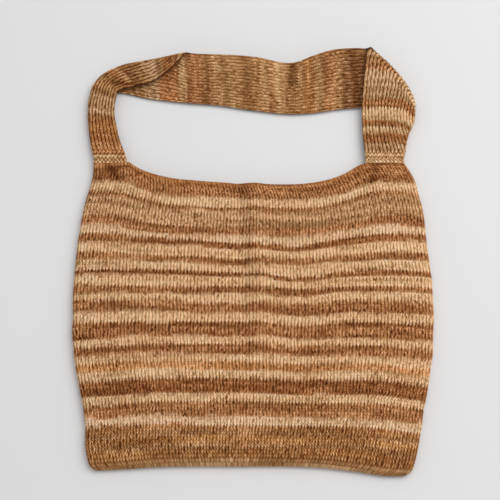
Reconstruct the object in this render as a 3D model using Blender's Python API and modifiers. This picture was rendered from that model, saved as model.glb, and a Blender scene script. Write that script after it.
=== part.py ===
"""A knitted bilum shoulder bag, lying on its back with its strap laid out above the mouth.

The bag is two knitted pieces. The body is one pouch, closed at the bottom seam and open at the
mouth. The strap is one ribbed band: its ends are folded round the pouch's two shoulders, its left
leg stays folded along its length until it has turned the corner, its middle leans back on its lower
edge, and it turns over once more at the sharp diagonal fold above its right leg.

Lengths in the tables are millimetres and the meshes are metres. +X is to the right, +Y runs from
the bottom seam towards the strap, and +Z is up from the surface that the bag lies on.
"""

import math

import bpy
import numpy as np

MM = 0.001
COLLECTION_NAME = "bilum_string_bag"

# The frame's origin stands at the middle of the whole object's footprint.
ORIGIN_X = 2.9
ORIGIN_Y = 1.4

# Pouch: heights are of its outer face above the surface.
WALL_THICKNESS = 2.5
SIDE_HEIGHT = 9.0
CROWN_HEIGHT = 12.6
SEAM_HEIGHT = 6.4
SEAM_TAPER = 16.0
SEAM_Y = -234.0
SHOULDER_Y = 104.0
SAG_POWER = 3.2
LOWER_ARCH = 5.0
FRONT_STEPS = 26
FOLD_STEPS = 4
SEAM_LEVELS = (0.0, 0.006, 0.015, 0.03, 0.05)
LEVEL_STEPS = 18

# How far up the side (0 seam, 1 shoulder), and where the left and right sides stand there.
SIDE_TABLE = np.array(
    [
        # up, left x, right x
        (0.000, -149.0, 148.0),
        (0.010, -153.5, 154.0),
        (0.030, -156.5, 158.0),
        (0.115, -161.0, 166.0),
        (0.237, -168.5, 175.5),
        (0.300, -174.0, 180.0),
        (0.393, -179.0, 185.0),
        (0.540, -182.0, 188.0),
        (0.728, -181.0, 186.0),
        (0.870, -176.0, 182.5),
        (0.945, -170.5, 177.0),
        (1.000, -170.5, 169.5),
    ]
)

# How far across (0 left side, 1 right side), and how the two ends of each column of knitting lie:
# the seam's and the rim's distance above a straight line through the corners.
EDGE_TABLE = np.array(
    [
        # across, seam rise, rim rise
        (0.000, 0.0, 0.0),
        (0.103, 1.5, 0.0),
        (0.135, 2.2, -7.5),
        (0.168, 2.8, -13.0),
        (0.232, 3.6, -20.0),
        (0.329, 4.0, -24.0),
        (0.456, 4.0, -27.0),
        (0.582, 4.0, -28.5),
        (0.676, 3.4, -27.5),
        (0.741, 2.4, -23.5),
        (0.806, 0.4, -15.5),
        (0.868, -2.0, -3.0),
        (0.950, -5.5, 0.0),
        (1.000, -5.5, 0.0),
    ]
)

# Soft ridges and troughs of the front wall, each along one line.
FRONT_FOLDS = (
    {"from": (5.0, 84.0), "to": (9.0, -95.0), "spread": 8.0, "rise": 2.0},
    {"from": (-14.0, 82.0), "to": (-8.0, -80.0), "spread": 6.0, "rise": -1.2},
    {"from": (-153.0, 99.0), "to": (-138.0, 70.0), "spread": 5.0, "rise": -1.3},
    {"from": (141.0, 99.0), "to": (128.0, 66.0), "spread": 5.0, "rise": -1.3},
    {"from": (-104.0, 66.0), "to": (-118.0, -150.0), "spread": 16.0, "rise": 0.9},
    {"from": (92.0, 60.0), "to": (112.0, -140.0), "spread": 18.0, "rise": -0.8},
    {"from": (-60.0, -150.0), "to": (70.0, -165.0), "spread": 14.0, "rise": 0.8},
)

# Strap: the band's own thickness, and the radius of its lengthwise folds at mid thickness.
STRAP_THICKNESS = 3.0
CURL_RADIUS = 3.4
JOIN_GAP = 0.6
STRAP_ACROSS_STEPS = 14
STRAP_STEP = 9.5

# One row across the strap, from its lower or outer edge (edge 1) to its upper or inner edge
# (edge 2). Each edge has its outermost place, and the width of cloth that curls past it towards
# the band's wrong side. Heights are at mid thickness.
STRAP_TABLE = np.array(
    [
        # x1, y1, z1, x2, y2, z2, curl 1, curl 2
        (-138.0, 104.0, 1.6, -170.0, 104.0, 1.6, 0.0, 43.0),  # left join, folded in half
        (-138.0, 110.0, 1.6, -170.0, 110.0, 1.6, 0.0, 42.5),
        (-140.0, 121.0, 1.6, -172.5, 121.0, 1.6, 0.0, 41.0),
        (-143.5, 135.0, 1.6, -175.5, 136.0, 1.6, 0.0, 39.0),
        (-149.0, 153.0, 1.6, -178.5, 154.0, 1.6, 0.0, 37.5),
        (-154.5, 171.0, 1.6, -180.5, 174.0, 1.6, 0.0, 36.5),
        (-156.5, 188.0, 1.6, -180.0, 192.0, 1.6, 0.0, 37.0),
        (-154.5, 196.0, 1.6, -176.5, 207.5, 1.7, 0.0, 37.0),  # corner, turned edgewise
        (-150.5, 199.5, 1.6, -167.5, 220.5, 2.0, 0.0, 36.0),
        (-142.5, 199.0, 1.6, -149.5, 231.5, 2.6, 0.0, 32.0),
        (-130.0, 196.0, 1.8, -128.5, 236.5, 4.5, 0.0, 28.0),
        (-112.0, 191.5, 2.0, -107.0, 238.5, 8.5, 0.0, 21.0),
        (-92.0, 188.5, 2.2, -88.0, 239.5, 15.0, 0.0, 11.0),
        (-73.0, 186.0, 2.4, -73.0, 239.5, 23.5, 0.0, 3.0),  # peak, where the flap runs out
        (-39.0, 183.0, 2.4, -39.0, 239.0, 21.0, 0.0, 0.0),
        (6.0, 175.5, 2.3, 6.0, 237.5, 18.0, 0.0, 0.0),
        (50.0, 171.0, 2.3, 50.0, 231.0, 16.0, 0.0, 0.0),  # dip
        (74.0, 173.0, 2.3, 73.0, 237.0, 22.0, 0.0, 0.0),
        (97.0, 177.0, 2.4, 91.0, 238.5, 29.5, 0.0, 0.0),
        (128.0, 180.0, 2.4, 107.0, 239.5, 31.5, 0.0, 0.0),
        (158.0, 181.0, 2.4, 121.0, 240.5, 30.5, 0.0, 0.0),  # under the right leg
        (181.0, 181.0, 2.4, 131.5, 241.5, 29.0, 0.0, 0.0),
        (185.5, 178.5, 5.2, 135.0, 240.5, 33.0, 0.0, 0.0),  # diagonal fold
        (182.5, 176.0, 8.2, 131.5, 235.0, 34.5, 0.0, 0.0),
        (184.0, 170.0, 8.6, 129.0, 218.0, 27.5, 0.0, 0.0),
        (183.0, 162.0, 8.5, 126.5, 196.0, 16.5, 3.0, 0.0),
        (180.0, 154.0, 8.4, 125.0, 176.0, 10.4, 8.0, 0.0),
        (175.5, 145.0, 8.4, 124.5, 156.0, 8.8, 15.0, 0.0),
        (172.0, 133.0, 8.4, 124.5, 138.0, 8.5, 22.0, 0.0),
        (169.5, 120.0, 8.4, 125.5, 121.0, 8.4, 29.0, 0.0),
        (167.5, 110.0, 8.4, 126.0, 110.0, 8.4, 33.5, 0.0),
        (167.5, 104.0, 8.4, 126.0, 104.0, 8.4, 34.0, 0.0),  # right join
    ]
)

BODY_COLOR = (0.40, 0.22, 0.10, 1.0)
STRAP_COLOR = (0.47, 0.29, 0.15, 1.0)
YARN_ROUGHNESS = 0.95


def clear_scene():
    for thing in list(bpy.data.objects):
        bpy.data.objects.remove(thing, do_unlink=True)


def smoothly(places, values, wanted):
    """A smooth curve through rows of values, passing each at its own place."""
    places = np.asarray(places, float)
    values = np.asarray(values, float)
    steps = np.diff(places)
    slopes = np.diff(values, axis=0) / steps[:, None]
    tangents = np.empty_like(values)
    tangents[0] = slopes[0]
    tangents[-1] = slopes[-1]
    before = steps[:-1, None]
    after = steps[1:, None]
    tangents[1:-1] = (slopes[:-1] * after + slopes[1:] * before) / (before + after)
    wanted = np.clip(np.asarray(wanted, float), places[0], places[-1])
    row = np.clip(np.searchsorted(places, wanted, side="right") - 1, 0, len(steps) - 1)
    width = steps[row][:, None]
    part = (wanted - places[row])[:, None] / width
    start = (1 + 2 * part) * (1 - part) ** 2 * values[row]
    start_slope = part * (1 - part) ** 2 * width * tangents[row]
    end = part**2 * (3 - 2 * part) * values[row + 1]
    end_slope = part**2 * (part - 1) * width * tangents[row + 1]
    return start + start_slope + end + end_slope


def principled(name, color):
    material = bpy.data.materials.new(name)
    material.use_nodes = True
    shader = material.node_tree.nodes["Principled BSDF"]
    shader.inputs["Base Color"].default_value = color
    shader.inputs["Roughness"].default_value = YARN_ROUGHNESS
    shader.inputs["Metallic"].default_value = 0.0
    material.diffuse_color = color
    return material


def mesh_object(name, points, faces, material, collection):
    """An object from points in millimetres in the tables' frame."""
    placed = (np.asarray(points, float) - (ORIGIN_X, ORIGIN_Y, 0.0)) * MM
    mesh = bpy.data.meshes.new(name)
    mesh.from_pydata([tuple(point) for point in placed], [], faces)
    mesh.validate()
    mesh.shade_smooth()
    mesh.materials.append(material)
    thing = bpy.data.objects.new(name, mesh)
    collection.objects.link(thing)
    return thing


def thicken(thing, thickness, offset):
    solidify = thing.modifiers.new("Solidify", "SOLIDIFY")
    solidify.thickness = thickness * MM
    solidify.offset = offset
    solidify.use_even_offset = False


def grid_faces(rows, columns, closed):
    """Quads between neighbouring rows of points, each row open or a closed ring."""
    faces = []
    for row in range(rows - 1):
        for column in range(columns if closed else columns - 1):
            right = (column + 1) % columns
            low = row * columns
            high = low + columns
            faces.append((low + column, low + right, high + right, high + column))
    return faces


def fold_relief(x, y):
    """Height that the front wall's ridges and troughs add at a place."""
    total = np.zeros_like(x)
    for fold in FRONT_FOLDS:
        start = np.array(fold["from"])
        run = np.array(fold["to"]) - start
        length = math.hypot(*run)
        along = ((x - start[0]) * run[0] + (y - start[1]) * run[1]) / length
        aside = ((x - start[0]) * run[1] - (y - start[1]) * run[0]) / length
        past = np.maximum(np.maximum(-along, along - length), 0.0)
        reach = (aside / fold["spread"]) ** 2 + (past / (2.0 * fold["spread"])) ** 2
        total += fold["rise"] * np.exp(-0.5 * reach)
    return total


def pouch_place(across, up):
    """Plan position of the knitting, from its share of the way across and up the pouch."""
    sides = smoothly(SIDE_TABLE[:, 0], SIDE_TABLE[:, 1:], up)
    edges = smoothly(EDGE_TABLE[:, 0], EDGE_TABLE[:, 1:], across)
    x = sides[:, 0] + (sides[:, 1] - sides[:, 0]) * across
    y = SEAM_Y + (SHOULDER_Y - SEAM_Y) * up
    y += edges[:, 0] * (1.0 - up) ** 2
    y += np.minimum(edges[:, 1], 0.0) * up**SAG_POWER
    y += LOWER_ARCH * (1.0 - (2.0 * across - 1.0) ** 2) * np.sin(math.pi * np.sqrt(up))
    return x, y


def pouch_height(across, up, x, y):
    """Outer height of the front wall: crowned, flatter at its sides and pressed thin at the seam."""
    crown = (CROWN_HEIGHT - SIDE_HEIGHT) * (1.0 - np.abs(2.0 * across - 1.0) ** 4)
    height = SIDE_HEIGHT + crown + fold_relief(x, y) * (1.0 - np.abs(2.0 * across - 1.0) ** 12)
    from_seam = np.clip((SHOULDER_Y - SEAM_Y) * up / SEAM_TAPER, 0.0, 1.0)
    rounded = np.sqrt(1.0 - (1.0 - from_seam) ** 2)
    return SEAM_HEIGHT + (height - SEAM_HEIGHT) * rounded


def pouch_ring(up):
    """One closed section of the pouch: front wall, right side fold, back wall, left side fold."""
    across = np.linspace(0.0, 1.0, FRONT_STEPS + 1)
    ups = np.full_like(across, up)
    x, y = pouch_place(across, ups)
    top = pouch_height(across, ups, x, y)
    left_radius = top[0] / 2.0
    right_radius = top[-1] / 2.0
    inset = left_radius * (1.0 - across) - right_radius * across
    front = np.column_stack([x + inset, y, top])
    back = np.column_stack([x + inset, y, np.zeros_like(x)])[::-1]
    turns = np.linspace(0.0, math.pi, FOLD_STEPS + 1)[1:-1]
    right_fold = [
        (front[-1, 0] + right_radius * math.sin(turn), y[-1], right_radius * (1.0 + math.cos(turn)))
        for turn in turns
    ]
    left_fold = [
        (front[0, 0] - left_radius * math.sin(turn), y[0], left_radius * (1.0 - math.cos(turn)))
        for turn in turns
    ]
    return np.vstack([front, right_fold, back, left_fold])


def seam_faces():
    """The bottom seam: joins the front wall's lowest row to the back wall's."""
    right_fold = FRONT_STEPS
    back_start = FRONT_STEPS + FOLD_STEPS
    back_end = back_start + FRONT_STEPS
    ring = back_end + FOLD_STEPS
    faces = [
        (column + 1, column, back_end - column, back_end - column - 1)
        for column in range(FRONT_STEPS)
    ]
    faces.append(tuple(range(back_start, right_fold - 1, -1)))
    faces.append((0,) + tuple(range(ring - 1, back_end - 1, -1)))
    return faces


def make_body(material, collection):
    levels = list(SEAM_LEVELS) + list(np.linspace(SEAM_LEVELS[-1], 1.0, LEVEL_STEPS + 1)[1:])
    rings = [pouch_ring(level) for level in levels]
    columns = len(rings[0])
    faces = grid_faces(len(rings), columns, closed=True)
    body = mesh_object("body", np.vstack(rings), faces + seam_faces(), material, collection)
    thicken(body, WALL_THICKNESS, -1.0)
    return body


def strap_places():
    """Distance along the strap of each row of its table, the mean of its two edges."""
    moves = np.diff(STRAP_TABLE, axis=0)
    edge_1 = np.linalg.norm(moves[:, 0:3], axis=1)
    edge_2 = np.linalg.norm(moves[:, 3:6], axis=1)
    return np.concatenate([[0.0], np.cumsum((edge_1 + edge_2) / 2.0)])


def strap_section(row, heading):
    """Points across the strap, from edge 1 to edge 2, curled past the two ends of a straight base."""
    start, end = row[0:3], row[3:6]
    curl_1, curl_2 = max(row[6], 0.0), max(row[7], 0.0)
    span = np.linalg.norm(end - start)
    outward = (end - start) / span
    wrong_side = np.cross(heading, outward)
    wrong_side /= np.linalg.norm(wrong_side)
    quarter = math.pi / 2.0
    inset_1 = CURL_RADIUS * math.sin(min(curl_1 / CURL_RADIUS, quarter))
    inset_2 = CURL_RADIUS * math.sin(min(curl_2 / CURL_RADIUS, quarter))
    base = span - inset_1 - inset_2
    half_turn = math.pi * CURL_RADIUS
    points = []
    for distance in np.linspace(0.0, curl_1 + base + curl_2, STRAP_ACROSS_STEPS + 1):
        past_1 = max(curl_1 - distance, 0.0)
        past_2 = max(distance - curl_1 - base, 0.0)
        flat = inset_1 + min(max(distance - curl_1, 0.0), base)
        turn = min(past_1 + past_2, half_turn) / CURL_RADIUS
        back = max(past_1 + past_2 - half_turn, 0.0)
        shift = CURL_RADIUS * math.sin(turn) - back
        lift = CURL_RADIUS * (1.0 - math.cos(turn))
        along = flat + (shift if past_2 > 0.0 else -shift)
        points.append(start + outward * along + wrong_side * lift)
    return np.array(points)


def strap_rings():
    places = strap_places()
    wanted = []
    for first, last in zip(places[:-1], places[1:]):
        count = max(1, round((last - first) / STRAP_STEP))
        wanted.extend(np.linspace(first, last, count + 1)[:-1])
    wanted.append(places[-1])
    rows = smoothly(places, STRAP_TABLE, wanted)
    centres = (rows[:, 0:3] + rows[:, 3:6]) / 2.0
    headings = np.gradient(centres, axis=0)
    return [strap_section(row, heading) for row, heading in zip(rows, headings)]


def make_strap(material, collection):
    rings = strap_rings()
    rings[0][:, 1] += JOIN_GAP
    rings[-1][:, 1] += JOIN_GAP
    faces = grid_faces(len(rings), STRAP_ACROSS_STEPS + 1, closed=False)
    strap = mesh_object("strap", np.vstack(rings), faces, material, collection)
    thicken(strap, STRAP_THICKNESS, 0.0)
    return strap


def main():
    clear_scene()
    collection = bpy.data.collections.new(COLLECTION_NAME)
    bpy.context.scene.collection.children.link(collection)
    make_body(principled("body_knit", BODY_COLOR), collection)
    make_strap(principled("strap_rib", STRAP_COLOR), collection)


main()
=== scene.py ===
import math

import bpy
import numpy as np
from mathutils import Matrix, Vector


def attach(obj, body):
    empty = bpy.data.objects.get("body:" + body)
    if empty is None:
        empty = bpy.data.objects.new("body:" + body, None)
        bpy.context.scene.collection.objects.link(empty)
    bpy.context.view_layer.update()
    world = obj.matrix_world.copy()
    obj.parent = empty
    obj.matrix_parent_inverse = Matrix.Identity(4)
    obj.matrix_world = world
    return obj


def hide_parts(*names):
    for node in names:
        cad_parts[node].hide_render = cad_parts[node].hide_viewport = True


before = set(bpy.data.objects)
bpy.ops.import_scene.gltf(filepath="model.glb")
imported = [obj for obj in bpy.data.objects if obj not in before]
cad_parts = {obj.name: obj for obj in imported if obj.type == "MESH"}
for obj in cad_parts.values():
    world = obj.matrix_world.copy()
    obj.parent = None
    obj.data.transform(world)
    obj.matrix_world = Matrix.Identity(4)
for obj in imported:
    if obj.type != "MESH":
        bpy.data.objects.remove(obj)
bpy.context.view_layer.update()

# The looks of a knitted bilum shoulder bag that lies on its back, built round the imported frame.
#
# The pouch is stockinette, knitted in the round from the bottom seam to the rim. Its front wall and
# its back wall are one piece each, and meet along the middles of the two side folds. The strap is a
# ribbed band with a knobbly moss-stitch end at each join. Every stitch is in the meshes: a wale has
# a groove at each side and two leaning legs, and a course is one row of stitches.
#
# Shapes are worked out in millimetres, in the same table frame as the CAD, and placed by table_to_frame.

MM = 0.001
ORIGIN_X = 2.9
ORIGIN_Y = 1.4

# ---------------------------------------------------------------------------------------------
# Sizes of the pouch and the strap, as in the CAD
# ---------------------------------------------------------------------------------------------

SIDE_HEIGHT = 9.0
CROWN_HEIGHT = 12.6
SEAM_MIDDLE = 3.2
FRONT_SEAM_TAPER = 16.0
BACK_SEAM_TAPER = 7.0
SEAM_Y = -234.0
SHOULDER_Y = 104.0
SAG_POWER = 3.2
LOWER_ARCH = 5.0
BACK_LEVEL = 0.62

# How far up the side (0 seam, 1 shoulder), and where the left and right sides stand there.
SIDE_TABLE = np.array(
    [
        # up, left x, right x
        (0.000, -149.0, 148.0),
        (0.010, -153.5, 154.0),
        (0.030, -156.5, 158.0),
        (0.115, -161.0, 166.0),
        (0.237, -168.5, 175.5),
        (0.300, -174.0, 180.0),
        (0.393, -179.0, 185.0),
        (0.540, -182.0, 188.0),
        (0.728, -181.0, 186.0),
        (0.870, -176.0, 182.5),
        (0.945, -170.5, 177.0),
        (1.000, -170.5, 169.5),
    ]
)

# How far across, and the seam's and the rim's distance above a straight line through the corners.
EDGE_TABLE = np.array(
    [
        # across, seam rise, rim rise
        (0.000, 0.0, 0.0),
        (0.103, 1.5, 0.0),
        (0.135, 2.2, -7.5),
        (0.168, 2.8, -13.0),
        (0.232, 3.6, -20.0),
        (0.329, 4.0, -24.0),
        (0.456, 4.0, -27.0),
        (0.582, 4.0, -28.5),
        (0.676, 3.4, -27.5),
        (0.741, 2.4, -23.5),
        (0.806, 0.4, -15.5),
        (0.868, -2.0, -3.0),
        (0.950, -5.5, 0.0),
        (1.000, -5.5, 0.0),
    ]
)

# Soft ridges and troughs of the front wall, each along one line.
FRONT_FOLDS = (
    {"from": (5.0, 84.0), "to": (9.0, -95.0), "spread": 8.0, "rise": 2.6},
    {"from": (-14.0, 82.0), "to": (-8.0, -80.0), "spread": 6.0, "rise": -1.6},
    {"from": (-153.0, 99.0), "to": (-138.0, 70.0), "spread": 5.0, "rise": -1.3},
    {"from": (141.0, 99.0), "to": (128.0, 66.0), "spread": 5.0, "rise": -1.3},
    {"from": (-104.0, 66.0), "to": (-118.0, -150.0), "spread": 16.0, "rise": 0.9},
    {"from": (92.0, 60.0), "to": (112.0, -140.0), "spread": 18.0, "rise": -0.8},
    {"from": (-60.0, -150.0), "to": (70.0, -165.0), "spread": 14.0, "rise": 0.8},
)

STRAP_HALF_THICKNESS = 1.1
CURL_RADIUS = 3.4

# One row across the strap, from its lower or outer edge (edge 1) to its upper or inner edge
# (edge 2). Each edge has its outermost place, and the width of cloth that curls past it towards
# the band's wrong side. Heights are at mid thickness.
STRAP_TABLE = np.array(
    [
        # x1, y1, z1, x2, y2, z2, curl 1, curl 2
        (-138.0, 104.0, 1.6, -170.0, 104.0, 1.6, 0.0, 43.0),  # left join, folded in half
        (-138.0, 110.0, 1.6, -170.0, 110.0, 1.6, 0.0, 42.5),
        (-140.0, 121.0, 1.6, -172.5, 121.0, 1.6, 0.0, 41.0),
        (-143.5, 135.0, 1.6, -175.5, 136.0, 1.6, 0.0, 39.0),
        (-149.0, 153.0, 1.6, -178.5, 154.0, 1.6, 0.0, 37.5),
        (-154.5, 171.0, 1.6, -180.5, 174.0, 1.6, 0.0, 36.5),
        (-156.5, 188.0, 1.6, -180.0, 192.0, 1.6, 0.0, 37.0),
        (-154.5, 196.0, 1.6, -176.5, 207.5, 1.7, 0.0, 37.0),  # corner, turned edgewise
        (-150.5, 199.5, 1.6, -167.5, 220.5, 2.0, 0.0, 36.0),
        (-142.5, 199.0, 1.6, -149.5, 231.5, 2.6, 0.0, 38.0),
        (-130.0, 196.0, 1.8, -128.5, 236.5, 4.5, 0.0, 39.0),
        (-112.0, 191.5, 2.0, -107.0, 238.5, 8.5, 0.0, 36.0),
        (-92.0, 188.5, 2.2, -88.0, 239.5, 14.5, 0.0, 24.0),
        (-73.0, 186.0, 2.4, -73.0, 239.0, 21.0, 0.0, 8.0),  # peak, where the flap runs out
        (-39.0, 183.0, 2.4, -39.0, 239.0, 21.0, 0.0, 0.0),
        (6.0, 175.5, 2.3, 6.0, 237.5, 18.0, 0.0, 0.0),
        (50.0, 171.0, 2.3, 50.0, 231.0, 16.0, 0.0, 0.0),  # dip
        (74.0, 173.0, 2.3, 73.0, 237.0, 22.0, 0.0, 0.0),
        (97.0, 177.0, 2.4, 91.0, 238.5, 29.5, 0.0, 0.0),
        (128.0, 180.0, 2.4, 107.0, 239.5, 31.5, 0.0, 0.0),
        (158.0, 181.0, 2.4, 121.0, 240.5, 30.5, 0.0, 0.0),  # under the right leg
        (181.0, 181.0, 2.4, 131.5, 241.5, 29.0, 0.0, 0.0),
        (185.5, 178.5, 5.2, 135.0, 240.5, 33.0, 0.0, 0.0),  # diagonal fold
        (182.5, 176.0, 8.2, 131.5, 235.0, 34.5, 0.0, 0.0),
        (184.0, 170.0, 8.6, 129.0, 218.0, 27.5, 0.0, 0.0),
        (183.0, 162.0, 8.5, 126.5, 196.0, 16.5, 3.0, 0.0),
        (180.0, 154.0, 8.4, 125.0, 176.0, 10.4, 8.0, 0.0),
        (175.5, 145.0, 8.4, 124.5, 156.0, 8.8, 15.0, 0.0),
        (172.0, 133.0, 8.4, 124.5, 138.0, 8.5, 22.0, 0.0),
        (169.5, 120.0, 8.4, 125.5, 121.0, 8.4, 29.0, 0.0),
        (167.5, 110.0, 8.4, 126.0, 110.0, 8.4, 33.5, 0.0),
        (167.5, 104.0, 8.4, 126.0, 104.0, 8.4, 34.0, 0.0),  # right join
    ]
)
# Rows of the table between which the strap's courses are evenly spaced along every wale.
STRAP_ANCHORS = (0, 5, 12, 16, 29, 31)
STRAP_LATTICE_STEP = 1.2

# The diagonal fold beside the right leg bows outwards between its two ends: the table's row that it
# is at, the bow and its reach along the strap in mm, how far its highest place lies off the middle
# (1 would be the middle), and its direction.
FOLD_ROW = 22
FOLD_BOW = 8.0
FOLD_BOW_REACH = 26.0
FOLD_BOW_SKEW = 0.75
FOLD_BOW_SIDE = np.array([0.775, 0.632, 0.0])

# ---------------------------------------------------------------------------------------------
# Stitches
# ---------------------------------------------------------------------------------------------

POUCH_WALES = 106
STRAP_RIBS = 17
STRAP_COURSES = 205

# Each wale has four columns of points, and each course two rows of them.
COLUMNS = 4
ROWS = 2
COLUMN_PLACE = np.array([0.0, 0.27, 0.5, 0.73])
RIB_COLUMN_PLACE = np.array([0.0, 0.28, 0.5, 0.72])

# A row of points runs along the stitches' legs, and the next one along the hollows between them. It
# climbs from the middle of a wale to its grooves by this many courses, which gives the V shape. Rows
# are level at the first and last course, and lean fully this many courses further in.
LEG_LEAN = 1.0
LEAN_FADE = 3.0

# Heights in mm of the four columns (groove, leg, middle, leg), on the legs and between them.
POUCH_RELIEF = np.array([(-0.25, 0.46, 0.15, 0.46), (-0.62, -0.10, -0.32, -0.10)])
RIB_RELIEF = np.array([(-0.85, 0.42, 0.12, 0.42), (-1.00, -0.05, -0.25, -0.05)])
RIB_BACK_RELIEF = np.array([(0.12, 0.40, -0.55, 0.40), (-0.25, -0.05, -0.72, -0.05)])

# Share of the light that reaches the same points, which yarn beside them shades. On the strap, a
# value under RIB_HOLLOW is a hollow.
POUCH_SHADE = np.array([(0.30, 1.60, 1.20, 1.50), (0.03, 0.50, 0.42, 0.46)])
RIB_SHADE = np.array([(0.05, 1.50, 1.15, 1.50), (0.01, 0.76, 0.52, 0.76)])
RIB_BACK_SHADE = np.array([(1.30, 1.70, 0.30, 1.70), (0.34, 0.46, 0.03, 0.46)])
RIB_HOLLOW = 0.5

# How much of its shade the darkest point of the pouch and of the strap loses.
POINT_UNEVENNESS = 0.9
STRAP_POINT_UNEVENNESS = 0.72

# Light between the stitches has passed from yarn to yarn, so it loses blue before red: the powers
# that the shade is raised to for red, green and blue.
SHADE_POWERS = (0.76, 1.03, 1.45)

# The knobbly ends of the strap: their courses, half the courses in which they turn into ribs, the
# height in mm from a low knob to a high one, how far the knobs' middle level lies under the ribs',
# the knobs' mean shade, and the difference between a high one and a low one.
MOSS_COURSES = 6
MOSS_BLEND = 0.5
MOSS_RELIEF = 0.55
MOSS_SINK = 0.15
MOSS_SHADE = 0.72
MOSS_CONTRAST = 0.92

# Pale yarn passes more light into its hollows than dark yarn, so its stitches show less contrast:
# the contrast of black yarn, and how much of it is lost for each unit of the yarn's own green. No
# yarn has more red than PALEST_YARN.
DARK_CONTRAST = 1.6
CONTRAST_LOSS = 1.6
PALEST_YARN = 0.86

# A wall's inner face: its coarser rows, its distance in mm from the outer face, the share of that
# distance at the seam, the share of the height over which it grows, and its shade.
INNER_ROW_STEP = 12
WALL_INSET = 2.0
SEAM_INSET = 0.35
SEAM_INSET_FADE = 0.08
INNER_SHADE = 0.62

# Towards the seam and the rim the shade evens out to EDGE_SHADE. Its contrast is this share at the
# very edge, and whole this many courses further in.
EDGE_SHADE = 0.85
EDGE_CONTRAST = 0.3
EDGE_COURSES = 3.0

# The rim sinks by this much in mm, over its last courses.
RIM_DROP = 0.45
RIM_COURSES = 1.5

# Unevenness of hand knitting in mm: of the sides, of the rows and of the front's surface, with the
# noise's seeds, its waves from seam to rim or their length in mm, and the share of the height in
# which it fades out at the seam and the rim.
SIDE_UNEVENNESS = 0.7
SIDE_SEEDS = (3, 4)
SIDE_WAVES = 17.0
SIDE_FADE = 0.08
ROW_UNEVENNESS = 1.3
FRONT_ROW_SEED = 11
BACK_ROW_SEED = 12
ROW_WAVE = 46.0
ROW_WAVES = 7.0
ROW_FADE = 0.07
FRONT_UNEVENNESS = 0.5
FRONT_UNEVENNESS_SEED = 21
FRONT_WAVE = (38.0, 30.0)
NOISE_START = 40.0

# How near to the side folds the crown, the rows' unevenness and the front's relief reach: powers of
# the distance from the middle, where more is nearer.
CROWN_POWER = 4
ROW_POWER = 8
RELIEF_POWER = 12

# Unevenness of single points: aside in wales, along in courses and out in mm, and the share of the
# height in which the second one fades out at the seam and the rim.
POINT_ASIDE = 0.09
POINT_ALONG = 0.10
POINT_ALONG_FADE = 0.03
POINT_OUT = 0.10
STRAP_POINT_OUT = 0.09

# How unevenly the grooves between wales are shaded, on the pouch and on the strap, with the noise's
# cells for each wale or column, and its length in courses.
GROOVE_UNEVENNESS = 0.35
GROOVE_CELLS_A_WALE = 0.9
GROOVE_LENGTH = 7.0
RIB_GROOVE_UNEVENNESS = 0.25
RIB_GROOVE_CELLS_A_COLUMN = 3.7
RIB_GROOVE_LENGTH = 16.0

# Every piece's noise has seeds of its own, which start here.
FRONT_SEED = 100
BACK_SEED = 200
STRAP_SEED = 300
STRAP_BACK_SEED = 310
STRAP_COLOR_SEED = 320

# Where rows of stitches rise or sink from their even places: centre, reach and rise in mm. They
# fade out over this share of the height at the seam and the rim.
DRIFT_FADE = 0.06
ROW_DRIFTS = (
    {"at": (50.0, -70.0), "reach": (20.0, 35.0), "rise": -3.0},
    {"at": (48.0, -95.0), "reach": (24.0, 110.0), "rise": -3.6},
    {"at": (-165.0, -195.0), "reach": (45.0, 45.0), "rise": 3.8},
    {"at": (150.0, -200.0), "reach": (45.0, 45.0), "rise": 4.4},
    {"at": (122.0, -125.0), "reach": (20.0, 35.0), "rise": 1.8},
    {"at": (104.0, 20.0), "reach": (22.0, 40.0), "rise": 2.6},
    {"at": (160.0, 30.0), "reach": (24.0, 50.0), "rise": 2.6},
    {"at": (-172.0, 35.0), "reach": (20.0, 45.0), "rise": 4.0},
    {"at": (-20.0, -10.0), "reach": (24.0, 50.0), "rise": -2.0},
)

# Painted shade where the stitches gape: along the front's middle fold, and in the puckers under the
# strap's joins. A rise here is the share of the shade that is lost.
PUCKER_SHADES = (
    {"from": (-8.0, 86.0), "to": (2.0, -50.0), "spread": 4.5, "rise": 0.20},
    {"from": (-151.0, 97.0), "to": (-146.0, 88.0), "spread": 4.2, "rise": 0.62},
    {"from": (136.0, 95.0), "to": (133.0, 86.0), "spread": 3.6, "rise": 0.50},
)

# The small pleat along the strap's lower edge where it turns out of the left bend: how deep its
# trough is, and how much painted shade darkens it.
STRAP_TUCKS = ({"from": (-149.5, 208.6), "to": (-127.5, 204.8), "spread": 2.2, "rise": 1.0},)
TUCK_DEPTH = 1.3
TUCK_SHADE = 0.50

# Where the strap's middle dips behind its bulge: painted shade in the hollow, and painted light on
# the rise beside it. A rise here is the share of the shade that is lost.
DIP_SHADES = (
    {"from": (49.4, 237.0), "to": (46.0, 209.0), "spread": 3.7, "rise": 0.50},
    {"from": (59.0, 235.5), "to": (56.0, 214.5), "spread": 3.6, "rise": -0.12},
)

# ---------------------------------------------------------------------------------------------
# Studio
# ---------------------------------------------------------------------------------------------

# Lengths are in m, but the lens and sensor are in mm. The camera looks along +Y and down.
CAMERA_ELEVATION = 64.0
CAMERA_LENS = 80.0
CAMERA_SENSOR = 36.0
CAMERA_AIM = (-0.0029, -0.0014, 0.006)
CAMERA_DISTANCE = 1.1667
WORLD_STRENGTH = 0.62
WORLD_COLOR = (0.97, 0.985, 1.0, 1.0)
KEY_PLACE = (1.1, 0.65, 1.75)
KEY_TARGET = (0.0, 0.0, 0.0)
KEY_SIZE = 2.2
KEY_POWER = 27.0
KEY_COLOR = (1.0, 0.985, 0.965)
FLOOR_COLOR = (0.778, 0.776, 0.776, 1.0)
FLOOR_HALF_WIDTH = 6.0
FLOOR_LEVEL = -0.0002
YARN_SHEEN = 0.06
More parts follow.
